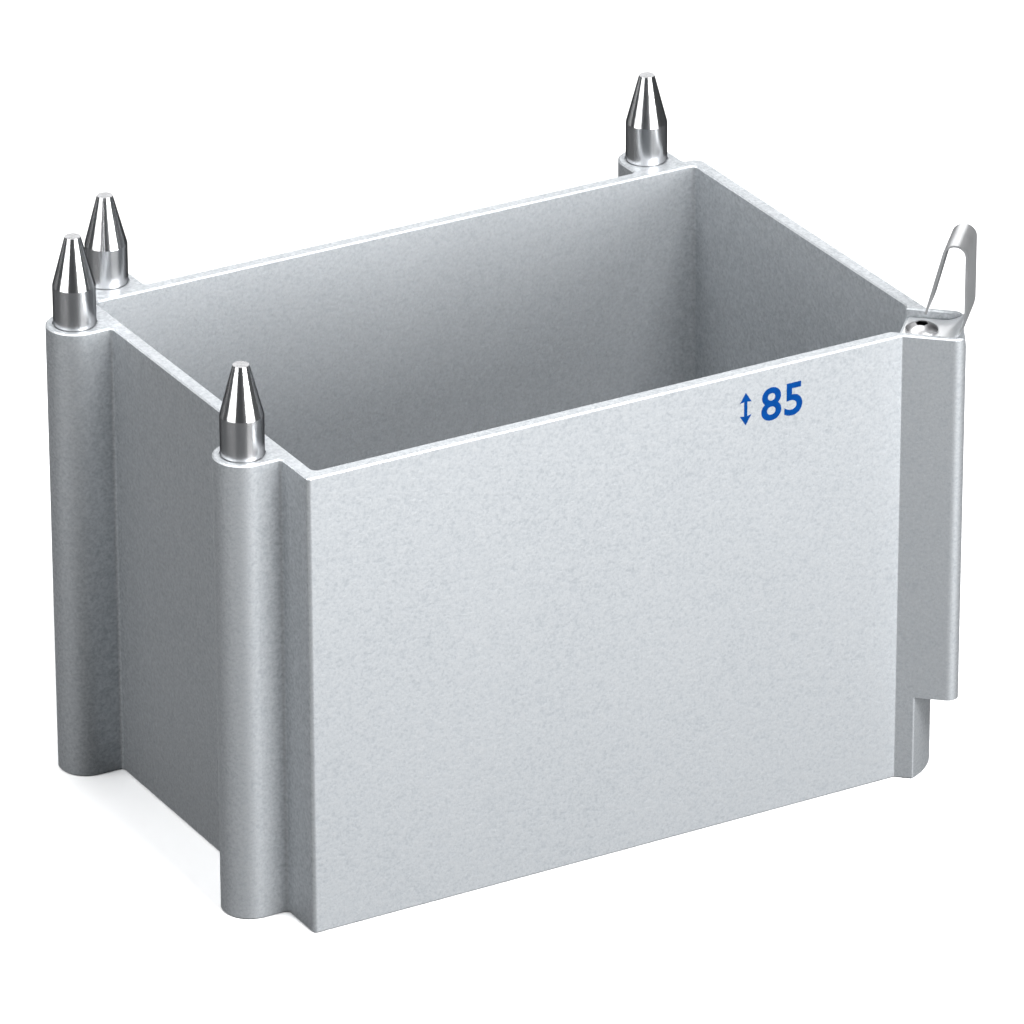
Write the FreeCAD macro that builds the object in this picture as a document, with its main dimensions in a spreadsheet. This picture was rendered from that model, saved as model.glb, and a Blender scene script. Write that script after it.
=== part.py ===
# Height adapter: an open rectangular tube with four guide pins and a spring at one corner.
# It stands on one location of a worktable and lifts the plate that lies on it.
# Millimetres, +Z up, the origin is the centre of the tube's outer walls on the bottom rim.
import FreeCAD, Part
import Sketcher
import math
import os

doc = FreeCAD.newDocument("height_adapter")

# Driving sizes. The tube and its walls come first, then the columns, the corner post and the fitted pieces.
SIZES = [
    ("tube_length", 125.6),
    ("tube_width", 84.2),
    ("tube_height", 85.0),
    ("wall", 2.5),
    ("front_corner_radius", 0.8),
    ("rear_corner_radius", 2.3),
    ("inner_corner_radius", 1.0),
    ("rim_break", 0.25),
    ("column_radius", 5.1),
    ("pin_standoff", 4.5),
    ("crease_radius", 0.7),
    ("left_front_pin_inset", 14.4),
    ("left_rear_pin_inset", 8.6),
    ("rear_pin_inset", 8.4),
    ("post_angle", 42.0),
    ("post_near_face", 6.65),
    ("post_far_face", 5.75),
    ("post_near_reach", 3.8),
    ("post_far_reach", 1.1),
    ("post_inner_face", 8.7),
    ("post_edge_radius", 1.9),
    ("post_crease_radius", 0.3),
    ("web_fillet", 4.0),
    ("seat_depth", 1.9),
    ("spring_width", 9.8),
    ("spring_side_gap", 0.2),
    ("spring_shift", 0.3),
    ("cutter_overrun", 2.0),
    ("notch_height", 16.0),
    ("notch_setback", 2.4),
    ("notch_face_radius", 14.0),
    ("notch_corner_radius", 0.4),
    ("pin_diameter", 7.5),
    ("pin_straight", 7.2),
    ("pin_point_height", 9.0),
    ("pin_tip_diameter", 2.8),
    ("pin_shoulder_break", 0.4),
    ("pin_shank_diameter", 6.0),
    ("pin_shank", 12.0),
    ("pin_end_break", 0.4),
    ("pin_fit_gap", 0.01),
    ("seat_relief_gap", 0.2),
    ("seat_relief_depth", 0.3),
    ("foot_clearance", 0.15),
    ("foot_bore_depth", 17.0),
    ("foot_mouth_break", 0.5),
    ("strip_thickness", 0.4),
    ("flange_setback", 8.2),
    ("heel_radius", 5.4),
    ("leg_offset", 3.16),
    ("leg_height", 14.7),
    ("crown_radius", 2.0),
    ("inner_leg_lean", 14.3),
    ("inner_leg_length", 11.9),
    ("strip_hole_diameter", 3.4),
    ("screw_setback", 5.1),
    ("screw_diameter", 3.0),
    ("screw_length", 8.0),
    ("screw_point_break", 0.4),
    ("screw_head_diameter", 5.7),
    ("screw_head_height", 1.4),
    ("screw_head_side", 0.35),
    ("socket_across_flats", 2.0),
    ("socket_depth", 0.9),
    ("screw_hole_depth", 9.5),
    ("screw_hole_gap", 0.02),
]

sheet = doc.addObject("Spreadsheet::Sheet", "sizes")
for row, (alias, number) in enumerate(SIZES, start=1):
    sheet.set(f"A{row}", alias)
    sheet.set(f"B{row}", str(number))
    sheet.setAlias(f"B{row}", alias)
doc.recompute()

# Edges are found by their place to within this distance, and flat faces by their height.
CLOSE = 0.02
FULL_TURN = 360


def value(expression):
    """The present value of an expression on the sheet."""
    return float(sheet.evalExpression(expression))


def new_body(name):
    body = doc.addObject("PartDesign::Body", name)
    body.Label = name
    return body


def new_sketch(body, name, role, offset=None, at_post=False):
    """A sketch on one of the body's origin planes, lifted by the offset expression.

    With at_post it is turned to the corner post and starts at the tube's front right corner.
    """
    sketch = body.newObject("Sketcher::SketchObject", name)
    plane = [feature for feature in body.Origin.OriginFeatures if feature.Role == role][0]
    sketch.AttachmentSupport = [(plane, "")]
    sketch.MapMode = "FlatFace"
    if at_post:
        turn = FreeCAD.Rotation(FreeCAD.Vector(0, 0, -1), value("sizes.post_angle"))
        sketch.AttachmentOffset = FreeCAD.Placement(FreeCAD.Vector(0, 0, 0), turn)
        sketch.setExpression("AttachmentOffset.Rotation.Angle", "sizes.post_angle")
        sketch.setExpression("AttachmentOffset.Base.x", "sizes.tube_length / 2")
        sketch.setExpression("AttachmentOffset.Base.y", "-sizes.tube_width / 2")
    if offset is not None:
        sketch.setExpression("AttachmentOffset.Base.z", offset)
    return sketch


def hold(sketch, element, point, across, up):
    """Tie one point of a sketch element to the sketch's origin by two expressions."""
    for kind, expression in (("DistanceX", across), ("DistanceY", up)):
        if abs(value(expression)) < 1e-9:
            axis_to_point = "PointOnObject"
            axis = -2 if kind == "DistanceX" else -1
            sketch.addConstraint(Sketcher.Constraint(axis_to_point, element, point, axis))
            continue
        number = sketch.addConstraint(Sketcher.Constraint(kind, -1, 1, element, point, value(expression)))
        sketch.setExpression(f"Constraints[{number}]", expression)


def polygon(sketch, corners):
    """A closed outline of straight lines through corners given as pairs of expressions."""
    first = sketch.GeometryCount
    places = [FreeCAD.Vector(value(across), value(up), 0) for across, up in corners]
    count = len(places)
    for index in range(count):
        sketch.addGeometry(Part.LineSegment(places[index], places[(index + 1) % count]), False)
    for index in range(count):
        following = first + (index + 1) % count
        sketch.addConstraint(Sketcher.Constraint("Coincident", first + index, 2, following, 1))
    for index, (across, up) in enumerate(corners):
        hold(sketch, first + index, 1, across, up)


def circle(sketch, across, up, radius):
    element = sketch.addGeometry(
        Part.Circle(FreeCAD.Vector(value(across), value(up), 0), FreeCAD.Vector(0, 0, 1), value(radius)), False
    )
    hold(sketch, element, 3, across, up)
    number = sketch.addConstraint(Sketcher.Constraint("Radius", element, value(radius)))
    sketch.setExpression(f"Constraints[{number}]", radius)


def pad(body, name, sketch, length):
    feature = body.newObject("PartDesign::Pad", name)
    feature.Profile = sketch
    feature.setExpression("Length", length)
    doc.recompute()
    return feature


def pocket(body, name, sketch, depth=None, upwards=False):
    """A pocket below the sketch, or above it with upwards; without a depth it goes right through."""
    before = body.Shape.Volume
    feature = body.newObject("PartDesign::Pocket", name)
    feature.Profile = sketch
    feature.Reversed = upwards
    if depth is None:
        feature.Type = "ThroughAll"
    else:
        feature.setExpression("Length", depth)
    doc.recompute()
    if feature.Shape.Volume > before - 0.1:
        raise RuntimeError(name + " removes nothing")
    return feature


def dress(body, kind, name, edges, size):
    """A fillet or a chamfer on the named edges of the body's last feature."""
    if not edges:
        raise RuntimeError(name + " finds no edges")
    feature = body.newObject("PartDesign::" + kind, name)
    feature.Base = (feature.BaseFeature or body.Tip, edges)
    feature.setExpression("Radius" if kind == "Fillet" else "Size", size)
    doc.recompute()
    return feature


def upright_edges(shape, places, reach=CLOSE):
    """Names of the straight upright edges that stand on the given places."""
    names = []
    for number, edge in enumerate(shape.Edges, start=1):
        start = edge.Vertexes[0].Point
        end = edge.Vertexes[-1].Point
        if abs(start.x - end.x) > reach or abs(start.y - end.y) > reach:
            continue
        if any(abs(start.x - x) < reach and abs(start.y - y) < reach for x, y in places):
            names.append(f"Edge{number}")
    return names


def round_edges(shape, radius, height, reach=CLOSE):
    """Names of the full circles of one radius that lie at one height."""
    names = []
    for number, edge in enumerate(shape.Edges, start=1):
        if not isinstance(edge.Curve, Part.Circle) or len(edge.Vertexes) != 1:
            continue
        if abs(edge.Curve.Radius - radius) < reach and abs(edge.Curve.Center.z - height) < reach:
            names.append(f"Edge{number}")
    return names


# The expressions of places that several pieces share.
HALF_LENGTH = "sizes.tube_length / 2"
HALF_WIDTH = "sizes.tube_width / 2"
LEFT_PIN_X = "-(sizes.tube_length / 2 + sizes.pin_standoff)"
REAR_PIN_Y = "sizes.tube_width / 2 + sizes.pin_standoff"
PINS = {
    "guide_pin_left_front": (LEFT_PIN_X, "sizes.left_front_pin_inset - sizes.tube_width / 2"),
    "guide_pin_left_rear": (LEFT_PIN_X, "sizes.tube_width / 2 - sizes.left_rear_pin_inset"),
    "guide_pin_rear_left": ("sizes.rear_pin_inset - sizes.tube_length / 2", REAR_PIN_Y),
    "guide_pin_rear_right": ("sizes.tube_length / 2 - sizes.rear_pin_inset", REAR_PIN_Y),
}

# The body. Its outline is one extrusion: tube, four columns and the post across the front right corner.
adapter = new_body("adapter_body")

tube_outline = new_sketch(adapter, "tube_outline", "XY_Plane")
polygon(
    tube_outline,
    [
        ("-" + HALF_LENGTH, "-" + HALF_WIDTH),
        (HALF_LENGTH, "-" + HALF_WIDTH),
        (HALF_LENGTH, HALF_WIDTH),
        ("-" + HALF_LENGTH, HALF_WIDTH),
    ],
)
tube_block = pad(adapter, "tube_block", tube_outline, "sizes.tube_height")

half_length = value(HALF_LENGTH)
half_width = value(HALF_WIDTH)
front_corner = upright_edges(tube_block.Shape, [(-half_length, -half_width)])
rounded_front = dress(adapter, "Fillet", "front_corner", front_corner, "sizes.front_corner_radius")
rear_places = [(-half_length, half_width), (half_length, half_width)]
rear_corners = upright_edges(rounded_front.Shape, rear_places)
dress(adapter, "Fillet", "rear_corners", rear_corners, "sizes.rear_corner_radius")


def column_outline(sketch, across, up, outward):
    """One column's outline: a half-round nose on the pin's axis and flanks square to the wall.

    The outward direction is (-1, 0) on the left wall and (0, 1) on the rear wall.
    """
    centre = FreeCAD.Vector(value(across), value(up), 0)
    radius = value("sizes.column_radius")
    on_left = outward[0] != 0
    start_turn = 0.5 if on_left else 0.0
    root = "-(sizes.tube_length / 2 - sizes.wall / 2)" if on_left else "sizes.tube_width / 2 - sizes.wall / 2"
    root_place = value(root)
    if on_left:
        sides = (FreeCAD.Vector(0, radius, 0), FreeCAD.Vector(0, -radius, 0))
        roots = [FreeCAD.Vector(root_place, (centre + side).y, 0) for side in sides]
    else:
        sides = (FreeCAD.Vector(radius, 0, 0), FreeCAD.Vector(-radius, 0, 0))
        roots = [FreeCAD.Vector((centre + side).x, root_place, 0) for side in sides]
    nose = Part.ArcOfCircle(
        Part.Circle(centre, FreeCAD.Vector(0, 0, 1), radius),
        start_turn * math.pi,
        (start_turn + 1) * math.pi,
    )
    arc = sketch.addGeometry(nose, False)
    first_flank = sketch.addGeometry(Part.LineSegment(roots[0], centre + sides[0]), False)
    second_flank = sketch.addGeometry(Part.LineSegment(centre + sides[1], roots[1]), False)
    base = sketch.addGeometry(Part.LineSegment(roots[1], roots[0]), False)
    sketch.addConstraint(Sketcher.Constraint("Tangent", first_flank, 2, arc, 1))
    sketch.addConstraint(Sketcher.Constraint("Tangent", arc, 2, second_flank, 1))
    sketch.addConstraint(Sketcher.Constraint("Coincident", second_flank, 2, base, 1))
    sketch.addConstraint(Sketcher.Constraint("Coincident", base, 2, first_flank, 1))
    flank_run = "Horizontal" if on_left else "Vertical"
    base_run = "Vertical" if on_left else "Horizontal"
    sketch.addConstraint(Sketcher.Constraint(flank_run, first_flank))
    sketch.addConstraint(Sketcher.Constraint(flank_run, second_flank))
    sketch.addConstraint(Sketcher.Constraint(base_run, base))
    hold(sketch, arc, 3, across, up)
    number = sketch.addConstraint(Sketcher.Constraint("Radius", arc, radius))
    sketch.setExpression(f"Constraints[{number}]", "sizes.column_radius")
    kind = "DistanceX" if on_left else "DistanceY"
    number = sketch.addConstraint(Sketcher.Constraint(kind, -1, 1, base, 1, root_place))
    sketch.setExpression(f"Constraints[{number}]", root)


column_outlines = new_sketch(adapter, "column_outlines", "XY_Plane")
for pin_name, (pin_x, pin_y) in PINS.items():
    column_outline(column_outlines, pin_x, pin_y, (-1, 0) if pin_x == LEFT_PIN_X else (0, 1))
pad(adapter, "columns", column_outlines, "sizes.tube_height")

# The post stands across the corner: its long faces run outwards along the diagonal, and its outer end is cut
# askew, so that it reaches further on the near side.
post_outline = new_sketch(adapter, "post_outline", "XY_Plane", at_post=True)
polygon(
    post_outline,
    [
        ("-sizes.post_inner_face", "-sizes.post_near_face"),
        ("sizes.post_near_reach", "-sizes.post_near_face"),
        ("sizes.post_far_reach", "sizes.post_far_face"),
        ("-sizes.post_inner_face", "sizes.post_far_face"),
    ],
)
pad(adapter, "corner_post", post_outline, "sizes.tube_height")

# The inside is one opening through the full height. The post's inner face cuts off one corner of it.
inside_outline = new_sketch(adapter, "inside_outline", "XY_Plane", offset="sizes.tube_height")
WEB_FRONT_X = (
    "sizes.tube_length / 2 + (sizes.wall * sin(sizes.post_angle) - sizes.post_inner_face) / cos(sizes.post_angle)"
)
WEB_RIGHT_Y = (
    "(sizes.post_inner_face - sizes.wall * cos(sizes.post_angle)) / sin(sizes.post_angle) - sizes.tube_width / 2"
)
polygon(
    inside_outline,
    [
        ("sizes.wall - sizes.tube_length / 2", "sizes.wall - sizes.tube_width / 2"),
        (WEB_FRONT_X, "sizes.wall - sizes.tube_width / 2"),
        ("sizes.tube_length / 2 - sizes.wall", WEB_RIGHT_Y),
        ("sizes.tube_length / 2 - sizes.wall", "sizes.tube_width / 2 - sizes.wall"),
        ("sizes.wall - sizes.tube_length / 2", "sizes.tube_width / 2 - sizes.wall"),
    ],
)
inside = pocket(adapter, "inside", inside_outline)

inner_x = value("sizes.tube_length / 2 - sizes.wall")
inner_y = value("sizes.tube_width / 2 - sizes.wall")
inner_corners = [(-inner_x, -inner_y), (-inner_x, inner_y), (inner_x, inner_y)]
inner_edges = upright_edges(inside.Shape, inner_corners)
inner_fillet = dress(adapter, "Fillet", "inner_corners", inner_edges, "sizes.inner_corner_radius")
web_corners = [(value(WEB_FRONT_X), -inner_y), (inner_x, value(WEB_RIGHT_Y))]
web_edges = upright_edges(inner_fillet.Shape, web_corners)
web_fillets = dress(adapter, "Fillet", "web_fillets", web_edges, "sizes.web_fillet")

# Small fillets lie in the creases between the columns and the walls.
crease_places = []
for pin_x, pin_y in PINS.values():
    for side in (-1, 1):
        step = side * value("sizes.column_radius")
        if pin_x == LEFT_PIN_X:
            crease_places.append((-half_length, value(pin_y) + step))
        else:
            crease_places.append((value(pin_x) + step, half_width))
crease_edges = upright_edges(web_fillets.Shape, crease_places)
creases = dress(adapter, "Fillet", "column_creases", crease_edges, "sizes.crease_radius")


def post_place(outward, across):
    """A place near the post in the tube's axes: outward along the diagonal, across towards the right."""
    turn = FreeCAD.Rotation(FreeCAD.Vector(0, 0, -1), value("sizes.post_angle"))
    corner = FreeCAD.Vector(half_length, -half_width, 0)
    return corner + turn.multVec(FreeCAD.Vector(outward, across, 0))


near = value("sizes.post_near_face")
far = value("sizes.post_far_face")
near_root = value("-sizes.post_near_face / tan(sizes.post_angle)")
far_root = value("-sizes.post_far_face * tan(sizes.post_angle)")
post_roots = [post_place(near_root, -near), post_place(far_root, far)]
root_edges = upright_edges(creases.Shape, [(place.x, place.y) for place in post_roots])
post_creases = dress(adapter, "Fillet", "post_creases", root_edges, "sizes.post_crease_radius")
post_ends = [
    post_place(value("sizes.post_near_reach"), -near),
    post_place(value("sizes.post_far_reach"), far),
]
end_edges = upright_edges(post_creases.Shape, [(place.x, place.y) for place in post_ends])
dress(adapter, "Fillet", "post_edges", end_edges, "sizes.post_edge_radius")

# The seat slot for the spring runs through the top of the post and leaves a thin wall on each side.
seat_outline = new_sketch(adapter, "seat_outline", "XY_Plane", offset="sizes.tube_height", at_post=True)
PAST_POST = "sizes.post_near_reach + sizes.cutter_overrun"
SEAT_NEAR = "-(sizes.spring_width / 2 + sizes.spring_side_gap + sizes.spring_shift)"
SEAT_FAR = "sizes.spring_width / 2 + sizes.spring_side_gap - sizes.spring_shift"
polygon(
    seat_outline,
    [
        ("-(sizes.post_inner_face + sizes.cutter_overrun)", SEAT_NEAR),
        (PAST_POST, SEAT_NEAR),
        (PAST_POST, SEAT_FAR),
        ("-(sizes.post_inner_face + sizes.cutter_overrun)", SEAT_FAR),
    ],
)
pocket(adapter, "spring_seat", seat_outline, "sizes.seat_depth")

# The notch at the post's foot clears the spring of the location underneath. Its end face is slightly convex.
notch_outline = new_sketch(adapter, "notch_outline", "XY_Plane", at_post=True)
NOTCH_NEAR = "-(sizes.post_near_face + sizes.cutter_overrun)"
NOTCH_FAR = "sizes.post_far_face + sizes.cutter_overrun"
NOTCH_CENTRE = "-(sizes.notch_setback + sizes.notch_face_radius)"
face_radius = value("sizes.notch_face_radius")
notch_near = value(NOTCH_NEAR)
notch_far = value(NOTCH_FAR)
notch_centre = FreeCAD.Vector(value(NOTCH_CENTRE), 0, 0)
face_start = math.asin(notch_near / face_radius)
face_end = math.asin(notch_far / face_radius)
face_circle = Part.Circle(notch_centre, FreeCAD.Vector(0, 0, 1), face_radius)
notch_face = notch_outline.addGeometry(Part.ArcOfCircle(face_circle, face_start, face_end), False)
past_post = value(PAST_POST)
notch_places = [
    FreeCAD.Vector(notch_centre.x + face_radius * math.cos(face_end), notch_far, 0),
    FreeCAD.Vector(past_post, notch_far, 0),
    FreeCAD.Vector(past_post, notch_near, 0),
    FreeCAD.Vector(notch_centre.x + face_radius * math.cos(face_start), notch_near, 0),
]
notch_sides = [
    notch_outline.addGeometry(Part.LineSegment(notch_places[index], notch_places[index + 1]), False)
    for index in range(len(notch_places) - 1)
]
notch_outline.addConstraint(Sketcher.Constraint("Coincident", notch_face, 2, notch_sides[0], 1))
notch_outline.addConstraint(Sketcher.Constraint("Coincident", notch_sides[0], 2, notch_sides[1], 1))
notch_outline.addConstraint(Sketcher.Constraint("Coincident", notch_sides[1], 2, notch_sides[2], 1))
notch_outline.addConstraint(Sketcher.Constraint("Coincident", notch_sides[2], 2, notch_face, 1))
notch_outline.addConstraint(Sketcher.Constraint("Horizontal", notch_sides[0]))
notch_outline.addConstraint(Sketcher.Constraint("Horizontal", notch_sides[2]))
hold(notch_outline, notch_face, 3, NOTCH_CENTRE, "0")
hold(notch_outline, notch_sides[1], 1, PAST_POST, NOTCH_FAR)
hold(notch_outline, notch_sides[1], 2, PAST_POST, NOTCH_NEAR)
number = notch_outline.addConstraint(Sketcher.Constraint("Radius", notch_face, face_radius))
notch_outline.setExpression(f"Constraints[{number}]", "sizes.notch_face_radius")
notch = pocket(adapter, "notch", notch_outline, "sizes.notch_height", upwards=True)


def notch_face_place(across):
    """Where the notch's end face meets a long face of the post."""
    return post_place(notch_centre.x + math.sqrt(face_radius ** 2 - across ** 2), across)


notch_ends = [notch_face_place(-near), notch_face_place(far)]
stub_edges = upright_edges(notch.Shape, [(place.x, place.y) for place in notch_ends])
dress(adapter, "Fillet", "notch_corners", stub_edges, "sizes.notch_corner_radius")

# Each column has a reamed seat for its pin's shank, with a shallow relief that the pin's shoulder stands in, and a
# bore from below that goes over a pin of the location underneath.
pin_seat_outlines = new_sketch(adapter, "pin_seat_outlines", "XY_Plane", offset="sizes.tube_height")
for pin_x, pin_y in PINS.values():
    circle(pin_seat_outlines, pin_x, pin_y, "sizes.pin_shank_diameter / 2 + sizes.pin_fit_gap")
pocket(adapter, "pin_seats", pin_seat_outlines, "sizes.pin_shank")
relief_outlines = new_sketch(adapter, "relief_outlines", "XY_Plane", offset="sizes.tube_height")
for pin_x, pin_y in PINS.values():
    circle(relief_outlines, pin_x, pin_y, "sizes.pin_diameter / 2 + sizes.seat_relief_gap")
pocket(adapter, "seat_reliefs", relief_outlines, "sizes.seat_relief_depth")

foot_outlines = new_sketch(adapter, "foot_outlines", "XY_Plane")
for pin_x, pin_y in PINS.values():
    circle(foot_outlines, pin_x, pin_y, "sizes.pin_diameter / 2 + sizes.foot_clearance")
foot_bores = pocket(adapter, "foot_bores", foot_outlines, "sizes.foot_bore_depth", upwards=True)
foot_radius = value("sizes.pin_diameter / 2 + sizes.foot_clearance")
foot_mouths = round_edges(foot_bores.Shape, foot_radius, 0.0)
dress(adapter, "Chamfer", "foot_mouths", foot_mouths, "sizes.foot_mouth_break")

# The hole for the spring's screw goes down from the seat.
SEAT_FLOOR = "sizes.tube_height - sizes.seat_depth"
screw_hole_outline = new_sketch(adapter, "screw_hole_outline", "XY_Plane", offset=SEAT_FLOOR, at_post=True)
circle(
    screw_hole_outline,
    "-sizes.screw_setback",
    "-sizes.spring_shift",
    "sizes.screw_diameter / 2 + sizes.screw_hole_gap",
)
screw_hole = pocket(adapter, "screw_hole", screw_hole_outline, "sizes.screw_hole_depth")


def rim_edges(shape, height, mouth_radii):
    """Names of the outline edges on one rim; the round mouths of bores are left out."""
    names = []
    for number, edge in enumerate(shape.Edges, start=1):
        if any(abs(vertex.Point.z - height) > CLOSE for vertex in edge.Vertexes):
            continue
        if len(edge.Vertexes) == 1 and isinstance(edge.Curve, Part.Circle):
            if any(abs(edge.Curve.Radius - radius) < CLOSE for radius in mouth_radii):
                continue
        names.append(f"Edge{number}")
    return names


# The sharp edges of both rims are broken.
mouths = [
    value("sizes.pin_diameter / 2 + sizes.seat_relief_gap"),
    value("sizes.pin_diameter / 2 + sizes.foot_clearance + sizes.foot_mouth_break"),
]
top_edges = rim_edges(screw_hole.Shape, value("sizes.tube_height"), mouths)
top_break = dress(adapter, "Chamfer", "top_rim_break", top_edges, "sizes.rim_break")
bottom_edges = rim_edges(top_break.Shape, 0.0, mouths)
dress(adapter, "Chamfer", "bottom_rim_break", bottom_edges, "sizes.rim_break")


# A guide pin is turned in one piece: a shank in the seat, a shoulder that stands in the relief, a straight part and
# a conical point with a flat tip. The relief leaves a fine groove round the pin.
def make_pin(name, pin_x, pin_y):
    body = new_body(name)
    profile = new_sketch(body, name + "_profile", "XZ_Plane")
    polygon(
        profile,
        [
            ("0", "-sizes.pin_shank"),
            ("sizes.pin_shank_diameter / 2 - sizes.pin_end_break", "-sizes.pin_shank"),
            ("sizes.pin_shank_diameter / 2", "sizes.pin_end_break - sizes.pin_shank"),
            ("sizes.pin_shank_diameter / 2", "-sizes.seat_relief_depth"),
            ("sizes.pin_diameter / 2 - sizes.pin_shoulder_break", "-sizes.seat_relief_depth"),
            ("sizes.pin_diameter / 2", "sizes.pin_shoulder_break - sizes.seat_relief_depth"),
            ("sizes.pin_diameter / 2", "sizes.pin_straight"),
            ("sizes.pin_tip_diameter / 2", "sizes.pin_straight + sizes.pin_point_height"),
            ("0", "sizes.pin_straight + sizes.pin_point_height"),
        ],
    )
    turned = body.newObject("PartDesign::Revolution", name + "_turned")
    turned.Profile = profile
    turned.ReferenceAxis = (profile, ["V_Axis"])
    turned.Angle = FULL_TURN
    body.setExpression("Placement.Base.x", pin_x)
    body.setExpression("Placement.Base.y", pin_y)
    body.setExpression("Placement.Base.z", "sizes.tube_height")
    doc.recompute()
    return body


pins = [make_pin(name, pin_x, pin_y) for name, (pin_x, pin_y) in PINS.items()]

# The corner spring is one strip bent to a hairpin: a flange on the seat, a heel, a straight outer leg,
# a crown, and an inner leg that leans over the plate's corner and ends free.
spring = new_body("corner_spring")
strip_path = new_sketch(spring, "strip_path", "XZ_Plane")
STRIP_MIDDLE = "sizes.strip_thickness / 2 - sizes.seat_depth"
HEEL_START = "sizes.leg_offset - sizes.heel_radius"
turn_degrees = value("180 - sizes.inner_leg_lean")
heel_centre = FreeCAD.Vector(value(HEEL_START), value(STRIP_MIDDLE + " + sizes.heel_radius"), 0)
crown_centre = FreeCAD.Vector(value("sizes.leg_offset - sizes.crown_radius"), value("sizes.leg_height"), 0)
upward = FreeCAD.Vector(0, 0, 1)
crown_end = crown_centre + FreeCAD.Rotation(upward, turn_degrees).multVec(
    FreeCAD.Vector(value("sizes.crown_radius"), 0, 0)
)
leg_run = FreeCAD.Rotation(upward, turn_degrees).multVec(FreeCAD.Vector(0, value("sizes.inner_leg_length"), 0))
flange = strip_path.addGeometry(
    Part.LineSegment(
        FreeCAD.Vector(value("-sizes.flange_setback"), value(STRIP_MIDDLE), 0),
        FreeCAD.Vector(value(HEEL_START), value(STRIP_MIDDLE), 0),
    ),
    False,
)
quarter_turn = math.pi / 2
heel = strip_path.addGeometry(
    Part.ArcOfCircle(
        Part.Circle(heel_centre, upward, value("sizes.heel_radius")), 3 * quarter_turn, 4 * quarter_turn
    ),
    False,
)
outer_leg = strip_path.addGeometry(
    Part.LineSegment(
        FreeCAD.Vector(value("sizes.leg_offset"), heel_centre.y, 0),
        FreeCAD.Vector(value("sizes.leg_offset"), crown_centre.y, 0),
    ),
    False,
)
crown = strip_path.addGeometry(
    Part.ArcOfCircle(
        Part.Circle(crown_centre, upward, value("sizes.crown_radius")), 0.0, math.radians(turn_degrees)
    ),
    False,
)
inner_leg = strip_path.addGeometry(Part.LineSegment(crown_end, crown_end + leg_run), False)
strip_path.addConstraint(Sketcher.Constraint("Horizontal", flange))
strip_path.addConstraint(Sketcher.Constraint("Vertical", outer_leg))
strip_path.addConstraint(Sketcher.Constraint("Tangent", flange, 2, heel, 1))
strip_path.addConstraint(Sketcher.Constraint("Tangent", heel, 2, outer_leg, 1))
strip_path.addConstraint(Sketcher.Constraint("Tangent", outer_leg, 2, crown, 1))
strip_path.addConstraint(Sketcher.Constraint("Tangent", crown, 2, inner_leg, 1))
hold(strip_path, flange, 1, "-sizes.flange_setback", STRIP_MIDDLE)
sized = [
    (Sketcher.Constraint("Radius", heel, value("sizes.heel_radius")), "sizes.heel_radius"),
    (Sketcher.Constraint("Radius", crown, value("sizes.crown_radius")), "sizes.crown_radius"),
    (Sketcher.Constraint("DistanceX", -1, 1, outer_leg, 1, value("sizes.leg_offset")), "sizes.leg_offset"),
    (Sketcher.Constraint("DistanceY", -1, 1, outer_leg, 2, value("sizes.leg_height")), "sizes.leg_height"),
    (
        Sketcher.Constraint("DistanceY", inner_leg, 2, inner_leg, 1, abs(leg_run.y)),
        "sizes.inner_leg_length * cos(sizes.inner_leg_lean)",
    ),
    (
        Sketcher.Constraint("DistanceX", inner_leg, 2, inner_leg, 1, abs(leg_run.x)),
        "sizes.inner_leg_length * sin(sizes.inner_leg_lean)",
    ),
]
for constraint, expression in sized:
    number = strip_path.addConstraint(constraint)
    strip_path.setExpression(f"Constraints[{number}]", expression)

strip_section = new_sketch(spring, "strip_section", "YZ_Plane", offset="-sizes.flange_setback")
polygon(
    strip_section,
    [
        ("-(sizes.spring_width / 2 + sizes.spring_shift)", "-sizes.seat_depth"),
        ("sizes.spring_width / 2 - sizes.spring_shift", "-sizes.seat_depth"),
        ("sizes.spring_width / 2 - sizes.spring_shift", "sizes.strip_thickness - sizes.seat_depth"),
        ("-(sizes.spring_width / 2 + sizes.spring_shift)", "sizes.strip_thickness - sizes.seat_depth"),
    ],
)
doc.recompute()
bent_strip = spring.newObject("PartDesign::AdditivePipe", "bent_strip")
bent_strip.Profile = strip_section
bent_strip.Spine = (strip_path, [f"Edge{number + 1}" for number in range(strip_path.GeometryCount)])
bent_strip.SpineTangent = False
doc.recompute()

strip_hole_outline = new_sketch(spring, "strip_hole_outline", "XY_Plane")
circle(strip_hole_outline, "-sizes.screw_setback", "-sizes.spring_shift", "sizes.strip_hole_diameter / 2")
pocket(spring, "strip_hole", strip_hole_outline, "sizes.seat_depth + sizes.cutter_overrun")

# The screw is a button head screw; its head stays just under the rim so that the plate passes over it.
screw = new_body("spring_screw")
screw_profile = new_sketch(screw, "screw_profile", "XZ_Plane")
head_radius = value("sizes.screw_head_diameter / 2")
dome_rise = value("sizes.screw_head_height - sizes.screw_head_side")
dome_radius = (head_radius * head_radius + dome_rise * dome_rise) / (2 * dome_rise)
DOME_RADIUS = (
    "((sizes.screw_head_diameter / 2) ^ 2 + (sizes.screw_head_height - sizes.screw_head_side) ^ 2)"
    " / (2 * (sizes.screw_head_height - sizes.screw_head_side))"
)
profile_corners = [
    ("0", "sizes.screw_head_height"),
    ("0", "-sizes.screw_length"),
    ("sizes.screw_diameter / 2 - sizes.screw_point_break", "-sizes.screw_length"),
    ("sizes.screw_diameter / 2", "sizes.screw_point_break - sizes.screw_length"),
    ("sizes.screw_diameter / 2", "0"),
    ("sizes.screw_head_diameter / 2", "0"),
    ("sizes.screw_head_diameter / 2", "sizes.screw_head_side"),
]
places = [FreeCAD.Vector(value(across), value(up), 0) for across, up in profile_corners]
for index in range(len(places) - 1):
    screw_profile.addGeometry(Part.LineSegment(places[index], places[index + 1]), False)
for index in range(len(places) - 2):
    screw_profile.addConstraint(Sketcher.Constraint("Coincident", index, 2, index + 1, 1))
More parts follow.
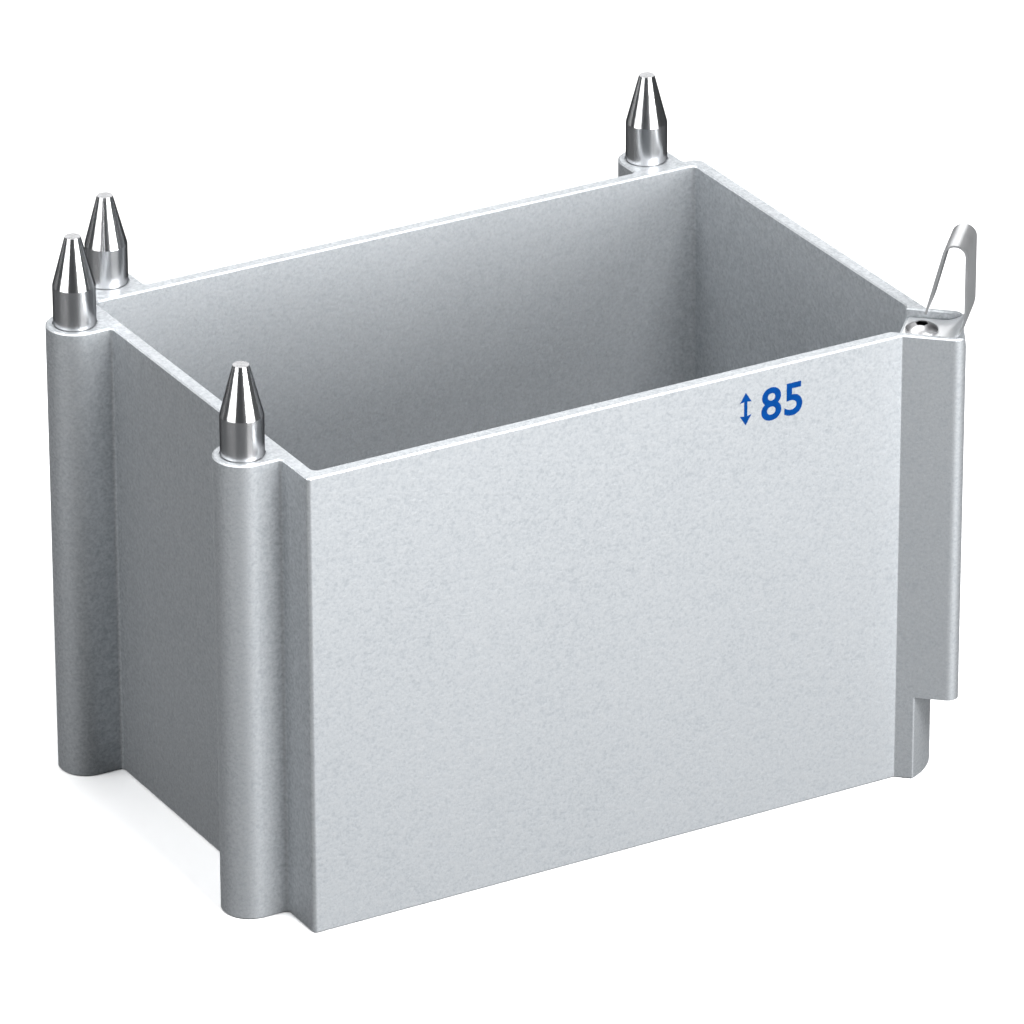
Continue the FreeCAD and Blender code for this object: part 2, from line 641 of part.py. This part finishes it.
for index, (across, up) in enumerate(profile_corners[:-1]):
    hold(screw_profile, index, 1, across, up)
last_line = len(places) - 2
hold(screw_profile, last_line, 2, *profile_corners[-1])
dome_centre = FreeCAD.Vector(0, places[0].y - dome_radius, 0)
to_side = places[-1] - dome_centre
side_turn = FreeCAD.Vector(1, 0, 0).getAngle(to_side)
dome = screw_profile.addGeometry(
    Part.ArcOfCircle(Part.Circle(dome_centre, upward, dome_radius), side_turn, quarter_turn), False
)
screw_profile.addConstraint(Sketcher.Constraint("Coincident", last_line, 2, dome, 1))
screw_profile.addConstraint(Sketcher.Constraint("Coincident", dome, 2, 0, 1))
screw_profile.addConstraint(Sketcher.Constraint("PointOnObject", dome, 3, -2))
turned_screw = screw.newObject("PartDesign::Revolution", "turned_screw")
turned_screw.Profile = screw_profile
turned_screw.ReferenceAxis = (screw_profile, ["V_Axis"])
turned_screw.Angle = FULL_TURN
doc.recompute()

socket_outline = new_sketch(screw, "socket_outline", "XY_Plane", offset="sizes.screw_head_height")
HALF_FLATS = "sizes.socket_across_flats / 2"
CORNER = "sizes.socket_across_flats / sqrt(3)"
HALF_SIDE = "sizes.socket_across_flats / sqrt(12)"
polygon(
    socket_outline,
    [
        (CORNER, "0"),
        (HALF_SIDE, HALF_FLATS),
        ("-" + HALF_SIDE, HALF_FLATS),
        ("-" + CORNER, "0"),
        ("-" + HALF_SIDE, "-" + HALF_FLATS),
        (HALF_SIDE, "-" + HALF_FLATS),
    ],
)
pocket(screw, "hex_socket", socket_outline, "sizes.socket_depth")

# The spring and its screw stand at the front right corner, turned to the post.
post_turn = FreeCAD.Rotation(FreeCAD.Vector(0, 0, -1), value("sizes.post_angle"))
spring.Placement = FreeCAD.Placement(FreeCAD.Vector(half_length, -half_width, value("sizes.tube_height")), post_turn)
spring.setExpression("Placement.Base.x", HALF_LENGTH)
spring.setExpression("Placement.Base.y", "-sizes.tube_width / 2")
spring.setExpression("Placement.Base.z", "sizes.tube_height")
spring.setExpression("Placement.Rotation.Angle", "sizes.post_angle")
screw.Placement = FreeCAD.Placement(FreeCAD.Vector(0, 0, 0), post_turn)
screw.setExpression(
    "Placement.Base.x",
    "sizes.tube_length / 2 - sizes.screw_setback * cos(sizes.post_angle)"
    " - sizes.spring_shift * sin(sizes.post_angle)",
)
screw.setExpression(
    "Placement.Base.y",
    "-sizes.tube_width / 2 + sizes.screw_setback * sin(sizes.post_angle)"
    " - sizes.spring_shift * cos(sizes.post_angle)",
)
screw.setExpression("Placement.Base.z", "sizes.tube_height - sizes.seat_depth + sizes.strip_thickness")
screw.setExpression("Placement.Rotation.Angle", "sizes.post_angle")
doc.recompute()

# Every feature must be sound before anything is written.
for feature in doc.Objects:
    if "Invalid" in feature.State or "Error" in feature.State:
        raise RuntimeError(feature.Name + " is not sound")
os.makedirs("parts", exist_ok=True)
for body in [adapter, *pins, spring, screw]:
    if body.Shape.isNull() or not body.Shape.isValid():
        raise RuntimeError(body.Label + " has no sound shape")
    body.Shape.exportStep("parts/" + body.Label + ".step")
    box = body.Shape.BoundBox
    print(
        body.Label,
        round(body.Shape.Volume, 2),
        [round(number, 3) for number in (box.XMin, box.YMin, box.ZMin, box.XMax, box.YMax, box.ZMax)],
    )
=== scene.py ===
import math

import bmesh
import bpy
from mathutils import Matrix, Vector


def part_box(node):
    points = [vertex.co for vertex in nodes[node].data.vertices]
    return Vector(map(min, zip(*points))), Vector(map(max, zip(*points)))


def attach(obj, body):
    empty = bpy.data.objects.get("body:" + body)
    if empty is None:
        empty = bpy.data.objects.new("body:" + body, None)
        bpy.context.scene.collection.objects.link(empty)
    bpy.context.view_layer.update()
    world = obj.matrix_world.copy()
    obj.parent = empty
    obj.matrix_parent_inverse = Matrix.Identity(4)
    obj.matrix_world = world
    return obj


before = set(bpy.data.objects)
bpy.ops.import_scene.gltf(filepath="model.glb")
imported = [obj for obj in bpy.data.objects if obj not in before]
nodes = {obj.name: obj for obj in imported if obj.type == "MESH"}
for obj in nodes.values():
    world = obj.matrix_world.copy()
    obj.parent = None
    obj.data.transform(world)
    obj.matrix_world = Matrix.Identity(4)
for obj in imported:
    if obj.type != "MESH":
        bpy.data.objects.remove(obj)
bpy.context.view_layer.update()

# The adapter body. One length of extruded aluminium with its four pin columns and its corner post, milled
# to height, blasted with fine glass beads and anodised clear. The blasting leaves a dense grain of tiny pits
# with slightly paler and duller patches. Along the edges the grain gives way to one even tone, partly rubbed
# by handling and partly a painted highlight on the edges.


def new_group(name, inputs, outputs):
    """An empty shader group with named inputs (name, kind, value) and outputs (name, kind)."""
    group = bpy.data.node_groups.new(name, "ShaderNodeTree")
    for label, kind, value in inputs:
        socket = group.interface.new_socket(name=label, in_out="INPUT", socket_type=kind)
        if value is not None:
            socket.default_value = value
    for label, kind in outputs:
        group.interface.new_socket(name=label, in_out="OUTPUT", socket_type=kind)
    return group, group.nodes.new("NodeGroupInput"), group.nodes.new("NodeGroupOutput")


def feed(tree, value, socket):
    """Links a socket to another one, or gives it a plain value."""
    if isinstance(value, bpy.types.NodeSocket):
        tree.links.new(value, socket)
    else:
        socket.default_value = value


def noise(tree, vector, scale, detail, roughness=0.55, distortion=0.0):
    """A noise texture; the scale is a number or a socket."""
    node = tree.nodes.new("ShaderNodeTexNoise")
    node.inputs["Detail"].default_value = detail
    node.inputs["Roughness"].default_value = roughness
    node.inputs["Distortion"].default_value = distortion
    tree.links.new(vector, node.inputs["Vector"])
    feed(tree, scale, node.inputs["Scale"])
    return node.outputs["Fac"]


def spread(tree, value, low, high, to_low=0.0, to_high=1.0):
    """Maps a value from one range to another, clamped; the ends are numbers or sockets."""
    node = tree.nodes.new("ShaderNodeMapRange")
    tree.links.new(value, node.inputs["Value"])
    for label, end in (("From Min", low), ("From Max", high), ("To Min", to_low), ("To Max", to_high)):
        feed(tree, end, node.inputs[label])
    return node.outputs["Result"]


def maths(tree, operation, *terms):
    """One Math node; each term is a number or a socket."""
    node = tree.nodes.new("ShaderNodeMath")
    node.operation = operation
    for term, socket in zip(terms, node.inputs):
        feed(tree, term, socket)
    return node.outputs["Value"]


def weigh(tree, share, first, second):
    """A share of the first value and the rest of the second."""
    first_part = maths(tree, "MULTIPLY", first, share)
    second_part = maths(tree, "MULTIPLY", second, 1.0 - share)
    return maths(tree, "ADD", first_part, second_part)


def vector_maths(tree, operation, *terms):
    """One Vector Math node; each term is a vector or a socket. A dot product or a length is a number."""
    node = tree.nodes.new("ShaderNodeVectorMath")
    node.operation = operation
    for term, socket in zip(terms, node.inputs):
        feed(tree, term, socket)
    return node.outputs["Value" if operation in ("DOT_PRODUCT", "LENGTH") else "Vector"]


def blend_colours(tree, factor, first, second):
    """Mixes two colours, each a colour value or a socket, by a factor that changes over the surface."""
    node = tree.nodes.new("ShaderNodeMix")
    node.data_type = "RGBA"
    tree.links.new(factor, node.inputs["Factor"])
    colour_inputs = {socket.name: socket for socket in node.inputs if socket.type == "RGBA"}
    feed(tree, first, colour_inputs["A"])
    feed(tree, second, colour_inputs["B"])
    return next(socket for socket in node.outputs if socket.type == "RGBA")


PIT_SHARE = 0.7
DIMPLE_SCALE = 0.42
GRAIN_SHARE = 0.86

bead_blast, inside, outside = new_group(
    "bead_blast",
    [
        ("Vector", "NodeSocketVector", None),
        ("Pits per metre", "NodeSocketFloat", 1500.0),
        ("Patches per metre", "NodeSocketFloat", 60.0),
        ("Pale", "NodeSocketColor", (0.8, 0.8, 0.8, 1)),
        ("Dull", "NodeSocketColor", (0.6, 0.6, 0.6, 1)),
        ("Smoothest", "NodeSocketFloat", 0.4),
        ("Roughest", "NodeSocketFloat", 0.6),
    ],
    [("Colour", "NodeSocketColor"), ("Roughness", "NodeSocketFloat"), ("Height", "NodeSocketFloat")],
)
skin_place = inside.outputs["Vector"]
pits_per_metre = inside.outputs["Pits per metre"]
pits = noise(bead_blast, skin_place, pits_per_metre, detail=3.0, roughness=0.6, distortion=0.3)
dimples_per_metre = maths(bead_blast, "MULTIPLY", pits_per_metre, DIMPLE_SCALE)
dimples = noise(bead_blast, skin_place, dimples_per_metre, detail=2.0, roughness=0.5, distortion=1.2)
patches_per_metre = inside.outputs["Patches per metre"]
patches = noise(bead_blast, skin_place, patches_per_metre, detail=4.0, roughness=0.6, distortion=0.4)
grain = weigh(bead_blast, PIT_SHARE, pits, dimples)
grain_tone = spread(bead_blast, grain, low=0.36, high=0.64)
patch_tone = spread(bead_blast, patches, low=0.3, high=0.7)
tone = weigh(bead_blast, GRAIN_SHARE, grain_tone, patch_tone)
colour = blend_colours(bead_blast, tone, inside.outputs["Dull"], inside.outputs["Pale"])
dullness = spread(
    bead_blast,
    tone,
    low=0.15,
    high=0.85,
    to_low=inside.outputs["Roughest"],
    to_high=inside.outputs["Smoothest"],
)
bead_blast.links.new(colour, outside.inputs["Colour"])
bead_blast.links.new(dullness, outside.inputs["Roughness"])
bead_blast.links.new(grain, outside.inputs["Height"])

EDGE_SAMPLES = 4
FLAT_COSINE = 0.997
EDGE_COSINE = 0.93
LEAST_RUBBED_AND_HIGHLIT = 0.35

# Masks the edges, where the rubbed wear and a painted edge highlight go.
rubbed_and_highlit_edges, inside, outside = new_group(
    "rubbed_and_highlit_edges",
    [
        ("Vector", "NodeSocketVector", None),
        ("Width", "NodeSocketFloat", 0.0005),
        ("Breaks per metre", "NodeSocketFloat", 220.0),
    ],
    [("Mask", "NodeSocketFloat")],
)
rounded = rubbed_and_highlit_edges.nodes.new("ShaderNodeBevel")
rounded.samples = EDGE_SAMPLES
rubbed_and_highlit_edges.links.new(inside.outputs["Width"], rounded.inputs["Radius"])
own_normal = rubbed_and_highlit_edges.nodes.new("ShaderNodeNewGeometry").outputs["Normal"]
likeness = vector_maths(rubbed_and_highlit_edges, "DOT_PRODUCT", rounded.outputs["Normal"], own_normal)
bend = spread(rubbed_and_highlit_edges, likeness, FLAT_COSINE, EDGE_COSINE)
breaks = noise(rubbed_and_highlit_edges, inside.outputs["Vector"], inside.outputs["Breaks per metre"], detail=3.0)
rubbing_and_highlight = spread(rubbed_and_highlit_edges, breaks, low=0.3, high=0.62, to_low=LEAST_RUBBED_AND_HIGHLIT)
rubbed_and_highlit_edges.links.new(maths(rubbed_and_highlit_edges, "MULTIPLY", bend, rubbing_and_highlight), outside.inputs["Mask"])


def new_material(name):
    """A material with a Principled shader and the object's own coordinates."""
    material = bpy.data.materials.new(name)
    material.use_nodes = True
    tree = material.node_tree
    place = tree.nodes.new("ShaderNodeTexCoord").outputs["Object"]
    return material, tree, tree.nodes["Principled BSDF"], place


def use_group(tree, group, vector, **values):
    """Places a group in a material with its own values; a name's underscores stand for spaces."""
    node = tree.nodes.new("ShaderNodeGroup")
    node.node_tree = group
    tree.links.new(vector, node.inputs["Vector"])
    for label, value in values.items():
        node.inputs[label.replace("_", " ")].default_value = value
    return node


def relief(tree, shader, height, depth):
    """Feeds a height through a Bump node to the shader's normal."""
    bump = tree.nodes.new("ShaderNodeBump")
    bump.inputs["Distance"].default_value = depth
    tree.links.new(height, bump.inputs["Height"])
    tree.links.new(bump.outputs["Normal"], shader.inputs["Normal"])


def dress(node_name, material):
    """Gives a CAD node one material in place of its own."""
    slots = nodes[node_name].data.materials
    slots.clear()
    slots.append(material)


RUBBED_AND_HIGHLIT_EDGE = (0.51, 0.53, 0.55, 1)

blasted, tree, shader, place = new_material("blasted_aluminium")
skin = use_group(
    tree,
    bead_blast,
    place,
    Pits_per_metre=1700.0,
    Patches_per_metre=45.0,
    Pale=(0.655, 0.680, 0.703, 1),
    Dull=(0.405, 0.430, 0.453, 1),
    Smoothest=0.46,
    Roughest=0.58,
)
# Edges take one even tone in place of the grain: partly wear from handling, partly a painted edge highlight.
worn_and_highlit = use_group(tree, rubbed_and_highlit_edges, place, Width=0.00035, Breaks_per_metre=260.0).outputs["Mask"]
skin_colour = blend_colours(tree, worn_and_highlit, skin.outputs["Colour"], RUBBED_AND_HIGHLIT_EDGE)
tree.links.new(skin_colour, shader.inputs["Base Color"])
tree.links.new(skin.outputs["Roughness"], shader.inputs["Roughness"])
shader.inputs["Metallic"].default_value = 0.82
relief(tree, shader, skin.outputs["Height"], depth=0.00003)
dress("adapter_body", blasted)

# The four guide pins. Each is turned from stainless bar, polished on the lathe with a long conical point, and
# pressed into its column. The lathe leaves very fine rings round the pin, which draw its highlights out
# along its axis.

turned_rings, inside, outside = new_group(
    "turned_rings",
    [
        ("Vector", "NodeSocketVector", None),
        ("Rings per metre", "NodeSocketFloat", 3000.0),
        ("Smudges per metre", "NodeSocketFloat", 200.0),
    ],
    [("Height", "NodeSocketFloat"), ("Smudge", "NodeSocketFloat")],
)
axis_place = vector_maths(turned_rings, "MULTIPLY", inside.outputs["Vector"], (0.0, 0.0, 1.0))
rings = noise(turned_rings, axis_place, inside.outputs["Rings per metre"], detail=4.0, roughness=0.7)
smudges = noise(turned_rings, inside.outputs["Vector"], inside.outputs["Smudges per metre"], detail=4.0)
turned_rings.links.new(rings, outside.inputs["Height"])
turned_rings.links.new(spread(turned_rings, smudges, low=0.35, high=0.7), outside.inputs["Smudge"])

CLEAN_STEEL = (0.80, 0.80, 0.81, 1)
HANDLED_STEEL = (0.70, 0.70, 0.71, 1)

polished, tree, shader, place = new_material("polished_pin_steel")
turned = use_group(tree, turned_rings, place, Rings_per_metre=2600.0, Smudges_per_metre=180.0)
handling = turned.outputs["Smudge"]
tree.links.new(blend_colours(tree, handling, CLEAN_STEEL, HANDLED_STEEL), shader.inputs["Base Color"])
tree.links.new(spread(tree, handling, 0.0, 1.0, to_low=0.19, to_high=0.25), shader.inputs["Roughness"])
shader.inputs["Metallic"].default_value = 1.0
shader.inputs["Specular Tint"].default_value = (0.12, 0.12, 0.13, 1)
shader.inputs["Anisotropic"].default_value = 0.85
shader.inputs["Anisotropic Rotation"].default_value = 0.25
relief(tree, shader, turned.outputs["Height"], depth=0.0000015)
for column in ("left_front", "left_rear", "rear_left", "rear_right"):
    dress("guide_pin_" + column, polished)

# The corner spring. A strip of rolled spring steel bent to a hairpin, with the mill's fine lines along its
# length and a bright finish. It lies in the post's slot and pushes the plate against the pins.

POST_TURN = math.radians(42.0)
LINE_STRETCH = (0.03, 1.0, 0.03)
LINES_PER_METRE = 5200.0
CLOUDS_PER_METRE = 160.0
BRIGHT_STRIP = (0.88, 0.89, 0.90, 1)
GREY_STRIP = (0.78, 0.79, 0.80, 1)

rolled, tree, shader, place = new_material("rolled_spring_steel")
turn = tree.nodes.new("ShaderNodeMapping")
turn.inputs["Rotation"].default_value = (0.0, 0.0, POST_TURN)
tree.links.new(place, turn.inputs["Vector"])
strip_place = vector_maths(tree, "MULTIPLY", turn.outputs["Vector"], LINE_STRETCH)
lines = noise(tree, strip_place, LINES_PER_METRE, detail=3.0, roughness=0.7)
clouds = noise(tree, place, CLOUDS_PER_METRE, detail=3.0)
strip_colour = blend_colours(tree, spread(tree, clouds, low=0.35, high=0.7), BRIGHT_STRIP, GREY_STRIP)
tree.links.new(strip_colour, shader.inputs["Base Color"])
strip_roughness = spread(tree, lines, low=0.3, high=0.7, to_low=0.30, to_high=0.42)
tree.links.new(strip_roughness, shader.inputs["Roughness"])
shader.inputs["Metallic"].default_value = 0.92
relief(tree, shader, lines, depth=0.000003)
dress("corner_spring", rolled)

# The spring's screw. A small stainless button head screw with a hexagon socket and turned rings on its dome.
# The inside of the socket is painted near black, a painted shade in the recess.

SCREW_LOWEST, SCREW_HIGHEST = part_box("spring_screw")
SCREW_MIDDLE = (SCREW_LOWEST + SCREW_HIGHEST) / 2
SOCKET_REACH = 0.00119
SOCKET_FADE = 0.00002
SOCKET_SHADE_STARTS = SCREW_HIGHEST.z - 0.00017
SOCKET_SHADE_FULL = SCREW_HIGHEST.z - 0.00025
SCREW_BRIGHT = (0.62, 0.62, 0.63, 1)
SCREW_DULL = (0.40, 0.40, 0.41, 1)
SOCKET_PAINTED_SHADE = (0.02, 0.02, 0.022, 1)

screw_steel, tree, shader, place = new_material("screw_stainless_steel")
dome = use_group(tree, turned_rings, place, Rings_per_metre=9000.0, Smudges_per_metre=500.0)
handling = dome.outputs["Smudge"]
centred = tree.nodes.new("ShaderNodeMapping")
centred.inputs["Location"].default_value = (-SCREW_MIDDLE.x, -SCREW_MIDDLE.y, 0.0)
tree.links.new(place, centred.inputs["Vector"])
level_place = vector_maths(tree, "MULTIPLY", centred.outputs["Vector"], (1.0, 1.0, 0.0))
from_axis = vector_maths(tree, "LENGTH", level_place)
split = tree.nodes.new("ShaderNodeSeparateXYZ")
tree.links.new(place, split.inputs["Vector"])
# Painted shade: below its rim the socket's inside is made near black.
within_socket = spread(tree, from_axis, SOCKET_REACH, SOCKET_REACH - SOCKET_FADE)
below_rim = spread(tree, split.outputs["Z"], SOCKET_SHADE_STARTS, SOCKET_SHADE_FULL)
in_socket = maths(tree, "MULTIPLY", within_socket, below_rim)
handled_steel = blend_colours(tree, handling, SCREW_BRIGHT, SCREW_DULL)
tree.links.new(blend_colours(tree, in_socket, handled_steel, SOCKET_PAINTED_SHADE), shader.inputs["Base Color"])
tree.links.new(spread(tree, handling, 0.0, 1.0, to_low=0.28, to_high=0.4), shader.inputs["Roughness"])
shader.inputs["Metallic"].default_value = 1.0
relief(tree, shader, dome.outputs["Height"], depth=0.000003)
dress("spring_screw", screw_steel)

# The printed height mark. The number of millimetres that the adapter adds, screen printed in blue ink on
# the front wall, with a plain double arrow before it. The ink stands a few hundredths of a millimetre off
# the metal.

MARK_LEFT = 0.0246
MARK_FOOT = 0.0753
FIGURE_HEIGHT = 0.0061
FIGURE_SHARE_OF_SIZE = 0.729
FIGURE_BOLDNESS = 0.00016
FIGURE_SPACING = 1.06
INK_THICKNESS = 0.00003
MERGE_REACH = 0.000002
FRONT_FACE = -0.0421
FILM_PER_METRE = 900.0
PINHOLES_PER_METRE = 2600.0
DEEP_INK = (0.0, 0.036, 0.170, 1)
THIN_INK = (0.0, 0.046, 0.215, 1)

ink, tree, shader, place = new_material("blue_printing_ink")
film = noise(tree, place, FILM_PER_METRE, detail=4.0)
pinholes = noise(tree, place, PINHOLES_PER_METRE, detail=2.0)
ink_colour = blend_colours(tree, spread(tree, film, low=0.35, high=0.65), DEEP_INK, THIN_INK)
tree.links.new(ink_colour, shader.inputs["Base Color"])
ink_roughness = spread(tree, film, low=0.3, high=0.7, to_low=0.5, to_high=0.65)
tree.links.new(ink_roughness, shader.inputs["Roughness"])
shader.inputs["Specular IOR Level"].default_value = 0.05
relief(tree, shader, pinholes, depth=0.00001)


def set_out(name, data):
    """A new object in the scene, at the origin."""
    thing = bpy.data.objects.new(name, data)
    bpy.context.scene.collection.objects.link(thing)
    return thing


def print_mark(name, drawing):
    """Turns a flat curve or text, drawn upright in its own X and Y, into an ink film on the front wall."""
    drawing.extrude = INK_THICKNESS / 2
    drawing.materials.append(ink)
    outline = set_out(name + "_outline", drawing)
    bpy.context.view_layer.update()
    graph = bpy.context.evaluated_depsgraph_get()
    mesh = bpy.data.meshes.new_from_object(outline.evaluated_get(graph))
    bpy.data.objects.remove(outline)
    stand_up = Matrix.Rotation(math.pi / 2, 4, "X")
    mesh.transform(Matrix.Translation((MARK_LEFT, FRONT_FACE - INK_THICKNESS / 2, MARK_FOOT)) @ stand_up)
    sealed = bmesh.new()
    sealed.from_mesh(mesh)
    bmesh.ops.remove_doubles(sealed, verts=sealed.verts, dist=MERGE_REACH)
    bmesh.ops.dissolve_degenerate(sealed, edges=sealed.edges, dist=MERGE_REACH)
    bmesh.ops.recalc_face_normals(sealed, faces=sealed.faces)
    sealed.to_mesh(mesh)
    sealed.free()
    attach(set_out(name, mesh), "root")


figures = bpy.data.curves.new("height_figures", "FONT")
figures.body = "85"
figures.size = FIGURE_HEIGHT / FIGURE_SHARE_OF_SIZE
figures.offset = FIGURE_BOLDNESS
figures.space_character = FIGURE_SPACING
print_mark("height_figures", figures)

ARROW_MIDDLE = -0.0030
SHAFT_HALF = 0.00032
HEAD_HALF = 0.00115
HEAD_LENGTH = 0.0017
HEAD_SWEEP = 0.00016
right_side = [
    (0.0, 0.0),
    (HEAD_HALF, HEAD_LENGTH + HEAD_SWEEP),
    (SHAFT_HALF, HEAD_LENGTH),
    (SHAFT_HALF, FIGURE_HEIGHT - HEAD_LENGTH),
    (HEAD_HALF, FIGURE_HEIGHT - HEAD_LENGTH - HEAD_SWEEP),
    (0.0, FIGURE_HEIGHT),
]
left_side = [(-x, y) for x, y in reversed(right_side[1:-1])]
arrow_corners = right_side + left_side
arrow = bpy.data.curves.new("height_arrow", "CURVE")
arrow.dimensions = "2D"
arrow.fill_mode = "BOTH"
arrow_line = arrow.splines.new("POLY")
arrow_line.points.add(len(arrow_corners) - 1)
for point, (x, y) in zip(arrow_line.points, arrow_corners):
    point.co = (ARROW_MIDDLE + x, y, 0.0, 1.0)
arrow_line.use_cyclic_u = True
print_mark("height_arrow", arrow)

# The studio. A sheet of pale paper in a pale room, with soft lights in front, above, at the left and
# behind. To every ray but the camera's the paper and the room are given much darker colours, a painted
# shade, so they reach the metal darker than they look.

FLOOR_HALF = 2.5
CLOUDS_IN_PAPER_PER_METRE = 14.0
PALE_PAPER = (0.93, 0.93, 0.93, 1)
GREYER_PAPER = (0.91, 0.91, 0.91, 1)
# Painted shade: the paper's and the room's colours for all rays but the camera's.
PAPER_IN_REFLECTION = (0.055, 0.057, 0.059, 1)
PALE_BACKDROP = (0.90, 0.90, 0.90, 1)
DIM_ROOM = (0.045, 0.047, 0.049, 1)


def dimmed(tree, in_reflection, as_seen):
    """The colour that the camera sees, and a darker one for all other rays."""
    camera_ray = tree.nodes.new("ShaderNodeLightPath").outputs["Is Camera Ray"]
    return blend_colours(tree, camera_ray, in_reflection, as_seen)


floor_corners = [
    (-FLOOR_HALF, -FLOOR_HALF, 0),
    (FLOOR_HALF, -FLOOR_HALF, 0),
    (FLOOR_HALF, FLOOR_HALF, 0),
    (-FLOOR_HALF, FLOOR_HALF, 0),
]
floor_mesh = bpy.data.meshes.new("floor")
floor_mesh.from_pydata(floor_corners, [], [(0, 1, 2, 3)])
floor = set_out("floor", floor_mesh)
paper, tree, shader, place = new_material("pale_paper")
paper_clouds = noise(tree, place, CLOUDS_IN_PAPER_PER_METRE, detail=3.0)
sheet = blend_colours(tree, paper_clouds, GREYER_PAPER, PALE_PAPER)
tree.links.new(dimmed(tree, PAPER_IN_REFLECTION, sheet), shader.inputs["Base Color"])
shader.inputs["Roughness"].default_value = 0.9
shader.inputs["Specular IOR Level"].default_value = 0.1
floor_mesh.materials.append(paper)

MIDDLE = Vector((0.0, 0.0, 0.045))


def softbox(name, place, width, height, watts):
    """A rectangular area light at a place, turned to the adapter's middle."""
    lamp = bpy.data.lights.new(name, "AREA")
    lamp.shape = "RECTANGLE"
    lamp.size = width
    lamp.size_y = height
    lamp.energy = watts
    holder = set_out(name, lamp)
    holder.location = place
    holder.rotation_euler = (MIDDLE - Vector(place)).to_track_quat("-Z", "Y").to_euler()


softbox("front_softbox", (0.36, -1.30, 0.31), width=1.0, height=0.6, watts=21.2)
softbox("high_front_softbox", (0.15, -0.75, 1.00), width=0.5, height=0.4, watts=22.0)
softbox("overhead_softbox", (0.10, 0.45, 1.20), width=1.1, height=0.8, watts=9.0)
softbox("left_softbox", (-0.70, 0.05, 1.00), width=0.7, height=0.7, watts=9.5)
softbox("left_strip", (-1.14, -0.15, 0.22), width=0.9, height=0.22, watts=3.2)
softbox("rear_left_softbox", (-0.80, 1.10, 0.40), width=0.7, height=0.5, watts=2.2)
softbox("rear_right_softbox", (0.55, 0.95, 0.58), width=0.8, height=0.4, watts=1.6)

room = bpy.data.worlds.new("pale_room")
room.use_nodes = True
tree = room.node_tree
tree.links.new(dimmed(tree, DIM_ROOM, PALE_BACKDROP), tree.nodes["Background"].inputs["Color"])
bpy.context.scene.world = room
bpy.context.scene.view_settings.view_transform = "Standard"

# The camera. It stands in front, to the left and above, a little under a metre and a half away, and has a
# long lens, so the walls' edges run nearly parallel.

CAMERA_AZIMUTH = math.radians(-29.665)
CAMERA_ELEVATION = math.radians(25.435)
CAMERA_ROLL = math.radians(-0.154)
CAMERA_DISTANCE = 1.42644
LOOK_HEIGHT = 0.0425
SIDE_STEP = -0.000105
UP_STEP = 0.003895
FOCAL_PIXELS = 8179.22
IMAGE_PIXELS = 1024
SENSOR = 36.0
NEAREST = 0.05
FARTHEST = 20.0

backwards = Vector(
    (
        math.sin(CAMERA_AZIMUTH) * math.cos(CAMERA_ELEVATION),
        -math.cos(CAMERA_AZIMUTH) * math.cos(CAMERA_ELEVATION),
        math.sin(CAMERA_ELEVATION),
    )
)
level_right = (-backwards).cross(Vector((0, 0, 1))).normalized()
level_up = level_right.cross(-backwards)
right = level_right * math.cos(CAMERA_ROLL) + level_up * math.sin(CAMERA_ROLL)
up = -level_right * math.sin(CAMERA_ROLL) + level_up * math.cos(CAMERA_ROLL)
eye = Vector((0, 0, LOOK_HEIGHT)) + backwards * CAMERA_DISTANCE + right * SIDE_STEP + up * UP_STEP
turned_axes = Matrix((right, up, backwards)).transposed().to_4x4()
lens = bpy.data.cameras.new("photo_camera")
lens.sensor_width = SENSOR
lens.lens = FOCAL_PIXELS / IMAGE_PIXELS * SENSOR
lens.clip_start = NEAREST
lens.clip_end = FARTHEST
camera = set_out("photo_camera", lens)
camera.matrix_world = Matrix.Translation(eye) @ turned_axes
bpy.context.scene.camera = camera
